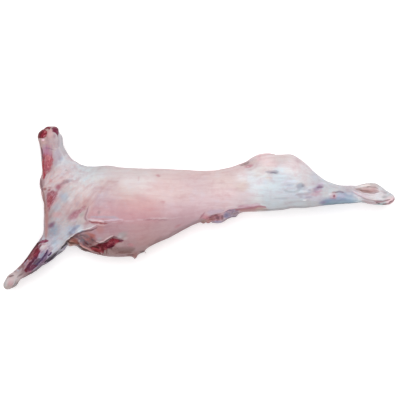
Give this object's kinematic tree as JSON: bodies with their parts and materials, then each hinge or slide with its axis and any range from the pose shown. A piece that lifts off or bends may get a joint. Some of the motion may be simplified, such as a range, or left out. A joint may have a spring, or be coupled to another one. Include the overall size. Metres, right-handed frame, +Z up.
{
  "type": "raw sheep carcass",
  "caption": "Skinned and gutted raw sheep carcass without head and feet, lying on its right side with neck, trunk and outstretched legs in one piece.",
  "frame": {"origin": "on the surface it lies on, under the middle of its box", "axes": "+X from the chest to the hocks, +Y from the belly to the back, +Z up, out of the left side"},
  "size_m": [1.1962, 0.5, 0.2051],
  "materials": {
    "flesh": "moist raw meat under pale fat and fascia"
  },
  "bodies": {
    "root": {"carcass": "flesh"}
  },
  "joints": []
}
